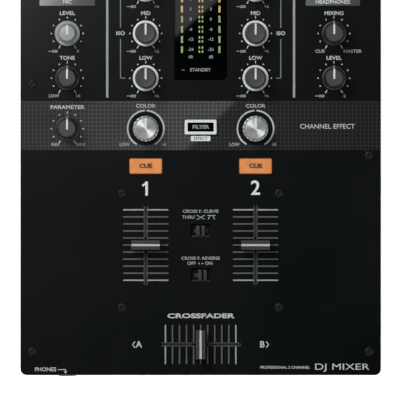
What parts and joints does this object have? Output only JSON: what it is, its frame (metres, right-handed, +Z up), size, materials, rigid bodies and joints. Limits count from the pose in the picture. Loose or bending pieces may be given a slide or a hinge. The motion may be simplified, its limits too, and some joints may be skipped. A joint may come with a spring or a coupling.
{
  "type": "dj mixer",
  "caption": "Tabletop DJ mixer: steel case with channel faders, a crossfader, rotary controls, lit cue buttons, a level meter window and rear jacks.",
  "frame": {"origin": "on the table under the middle of the whole object, nut and jacks included", "axes": "+X to the right as the player sees it, +Y away from the player to the rear jacks, +Z up"},
  "size_m": [0.23, 0.32, 0.1084],
  "materials": {
    "panel_paint": "satin black paint on the top panel, with printed legends",
    "case_paint": "fine textured black powder coat on folded steel",
    "black_knob": "moulded black knob plastic with a white pointer",
    "grey_knob": "dark grey soft-touch knob with a silver ring and white pointer",
    "silver_knob": "light silver knob, spun and lacquered",
    "brushed_knob": "radially brushed faceted knob",
    "fader_cap": "dark grey ribbed fader cap with a white line",
    "lit_button": "translucent orange key cap, lit from below",
    "black_button": "black key cap in a light printed frame",
    "smoked_window": "smoked glossy acrylic over the level meters",
    "rubber_foot": "moulded black rubber",
    "bright_nickel": "nickel-plated brass and steel",
    "zinc_sheet": "zinc-plated steel sheet",
    "black_jack": "glass-filled black nylon jack shell",
    "circuit_board": "green glass-epoxy circuit board with parts soldered on",
    "supply_cage": "vented cage of the mains power supply"
  },
  "bodies": {
    "root": {"top_panel": "panel_paint", "chassis_tray": "case_paint", "rear_panel": "case_paint", "foot_front_left": "rubber_foot", "foot_front_right": "rubber_foot", "foot_rear_left": "rubber_foot", "foot_rear_right": "rubber_foot", "meter_window": "smoked_window", "channel_fader_body_1": "zinc_sheet", "channel_fader_body_2": "zinc_sheet", "crossfader_body": "zinc_sheet", "fader_bracket": "zinc_sheet", "control_board": "circuit_board", "main_board": "circuit_board", "power_supply": "supply_cage", "balanced_output_left": "black_jack", "balanced_output_right": "black_jack", "microphone_jack": "black_jack", "mains_inlet": "black_jack", "headphone_jack": "black_jack", "headphone_mini_jack": "black_jack", "phono_jacks_channel_1": "bright_nickel", "phono_jacks_channel_2": "bright_nickel", "phono_jacks_aux": "bright_nickel", "phono_jacks_outputs": "bright_nickel", "usb_port": "bright_nickel", "ground_screw": "bright_nickel", "headphone_jack_nut": "bright_nickel"},
    "mic_tone": {"mic_tone_knob": "black_knob"},
    "mic_level": {"mic_level_knob": "silver_knob"},
    "aux_level": {"aux_level_knob": "black_knob"},
    "parameter": {"parameter_knob": "black_knob"},
    "phones_level": {"phones_level_knob": "black_knob"},
    "phones_mixing": {"phones_mixing_knob": "black_knob"},
    "booth_level": {"booth_level_knob": "black_knob"},
    "master_level": {"master_level_knob": "silver_knob"},
    "low_1": {"low_knob_1": "grey_knob"},
    "mid_1": {"mid_knob_1": "grey_knob"},
    "high_1": {"high_knob_1": "grey_knob"},
    "trim_1": {"trim_knob_1": "grey_knob"},
    "filter_1": {"filter_knob_1": "brushed_knob"},
    "low_2": {"low_knob_2": "grey_knob"},
    "mid_2": {"mid_knob_2": "grey_knob"},
    "high_2": {"high_knob_2": "grey_knob"},
    "trim_2": {"trim_knob_2": "grey_knob"},
    "filter_2": {"filter_knob_2": "brushed_knob"},
    "channel_fader_1": {"channel_fader_lever_1": "bright_nickel", "channel_fader_cap_1": "fader_cap"},
    "channel_fader_2": {"channel_fader_lever_2": "bright_nickel", "channel_fader_cap_2": "fader_cap"},
    "crossfader": {"crossfader_lever": "bright_nickel", "crossfader_cap": "fader_cap"},
    "cue_button_1": {"cue_button_1": "lit_button"},
    "cue_button_2": {"cue_button_2": "lit_button"},
    "filter_button": {"filter_button": "black_button"},
    "curve_switch": {"curve_switch_knob": "black_button"},
    "reverse_switch": {"reverse_switch_knob": "black_button"},
    "input_lever_1": {"input_lever_1": "bright_nickel"},
    "input_lever_2": {"input_lever_2": "bright_nickel"},
    "power_button": {"power_button": "black_button"}
  },
  "joints": [
    {"name": "mic_tone_turn", "type": "hinge", "parent": "root", "child": "mic_tone", "pos_m": [-0.085, 0.0304, 0.091], "axis": [0, 0, -1], "range_deg": [-150, 150]},
    {"name": "mic_level_turn", "type": "hinge", "parent": "root", "child": "mic_level", "pos_m": [-0.085, 0.0589, 0.091], "axis": [0, 0, -1], "range_deg": [-150, 150]},
    {"name": "aux_level_turn", "type": "hinge", "parent": "root", "child": "aux_level", "pos_m": [-0.085, 0.0985, 0.091], "axis": [0, 0, -1], "range_deg": [-150, 150]},
    {"name": "parameter_turn", "type": "hinge", "parent": "root", "child": "parameter", "pos_m": [-0.085, -0.0018, 0.091], "axis": [0, 0, -1], "range_deg": [-150, 150]},
    {"name": "phones_level_turn", "type": "hinge", "parent": "root", "child": "phones_level", "pos_m": [0.085, 0.0304, 0.091], "axis": [0, 0, -1], "range_deg": [-150, 150]},
    {"name": "phones_mixing_turn", "type": "hinge", "parent": "root", "child": "phones_mixing", "pos_m": [0.085, 0.0589, 0.091], "axis": [0, 0, -1], "range_deg": [-150, 150]},
    {"name": "booth_level_turn", "type": "hinge", "parent": "root", "child": "booth_level", "pos_m": [0.085, 0.0985, 0.091], "axis": [0, 0, -1], "range_deg": [-150, 150]},
    {"name": "master_level_turn", "type": "hinge", "parent": "root", "child": "master_level", "pos_m": [0.085, 0.127, 0.091], "axis": [0, 0, -1], "range_deg": [-150, 150]},
    {"name": "low_1_turn", "type": "hinge", "parent": "root", "child": "low_1", "pos_m": [-0.035, 0.0304, 0.091], "axis": [0, 0, -1], "range_deg": [-150, 150]},
    {"name": "mid_1_turn", "type": "hinge", "parent": "root", "child": "mid_1", "pos_m": [-0.035, 0.0589, 0.091], "axis": [0, 0, -1], "range_deg": [-150, 150]},
    {"name": "high_1_turn", "type": "hinge", "parent": "root", "child": "high_1", "pos_m": [-0.035, 0.0874, 0.091], "axis": [0, 0, -1], "range_deg": [-150, 150]},
    {"name": "trim_1_turn", "type": "hinge", "parent": "root", "child": "trim_1", "pos_m": [-0.035, 0.1159, 0.091], "axis": [0, 0, -1], "range_deg": [-150, 150]},
    {"name": "filter_1_turn", "type": "hinge", "parent": "root", "child": "filter_1", "pos_m": [-0.035, -0.0018, 0.091], "axis": [0, 0, -1], "range_deg": [-150, 150]},
    {"name": "low_2_turn", "type": "hinge", "parent": "root", "child": "low_2", "pos_m": [0.035, 0.0304, 0.091], "axis": [0, 0, -1], "range_deg": [-150, 150]},
    {"name": "mid_2_turn", "type": "hinge", "parent": "root", "child": "mid_2", "pos_m": [0.035, 0.0589, 0.091], "axis": [0, 0, -1], "range_deg": [-150, 150]},
    {"name": "high_2_turn", "type": "hinge", "parent": "root", "child": "high_2", "pos_m": [0.035, 0.0874, 0.091], "axis": [0, 0, -1], "range_deg": [-150, 150]},
    {"name": "trim_2_turn", "type": "hinge", "parent": "root", "child": "trim_2", "pos_m": [0.035, 0.1159, 0.091], "axis": [0, 0, -1], "range_deg": [-150, 150]},
    {"name": "filter_2_turn", "type": "hinge", "parent": "root", "child": "filter_2", "pos_m": [0.035, -0.0018, 0.091], "axis": [0, 0, -1], "range_deg": [-150, 150]},
    {"name": "channel_fader_1_slide", "type": "slide", "parent": "root", "child": "channel_fader_1", "axis": [0, 1, 0], "range_m": [-0.0225, 0.0225]},
    {"name": "channel_fader_2_slide", "type": "slide", "parent": "root", "child": "channel_fader_2", "axis": [0, 1, 0], "range_m": [-0.0225, 0.0225]},
    {"name": "crossfader_slide", "type": "slide", "parent": "root", "child": "crossfader", "axis": [1, 0, 0], "range_m": [-0.0225, 0.0225]},
    {"name": "cue_button_1_press", "type": "slide", "parent": "root", "child": "cue_button_1", "axis": [0, 0, -1], "range_m": [0, 0.0012], "stiffness_N_per_m": 800, "springref_m": -0.0004},
    {"name": "cue_button_2_press", "type": "slide", "parent": "root", "child": "cue_button_2", "axis": [0, 0, -1], "range_m": [0, 0.0012], "stiffness_N_per_m": 800, "springref_m": -0.0004},
    {"name": "filter_button_press", "type": "slide", "parent": "root", "child": "filter_button", "axis": [0, 0, -1], "range_m": [0, 0.0012], "stiffness_N_per_m": 800, "springref_m": -0.0004},
    {"name": "curve_switch_slide", "type": "slide", "parent": "root", "child": "curve_switch", "axis": [1, 0, 0], "range_m": [-0.0032, 0.0032]},
    {"name": "reverse_switch_slide", "type": "slide", "parent": "root", "child": "reverse_switch", "axis": [1, 0, 0], "range_m": [-0.0044, 0.002]},
    {"name": "input_lever_1_tip", "type": "hinge", "parent": "root", "child": "input_lever_1", "pos_m": [-0.035, 0.137, 0.084], "axis": [0, 1, 0], "range_deg": [0, 24]},
    {"name": "input_lever_2_tip", "type": "hinge", "parent": "root", "child": "input_lever_2", "pos_m": [0.035, 0.137, 0.084], "axis": [0, 1, 0], "range_deg": [0, 24]},
    {"name": "power_button_press", "type": "slide", "parent": "root", "child": "power_button", "axis": [0, -1, 0], "range_m": [0, 0.0025], "stiffness_N_per_m": 500, "springref_m": -0.001}
  ]
}
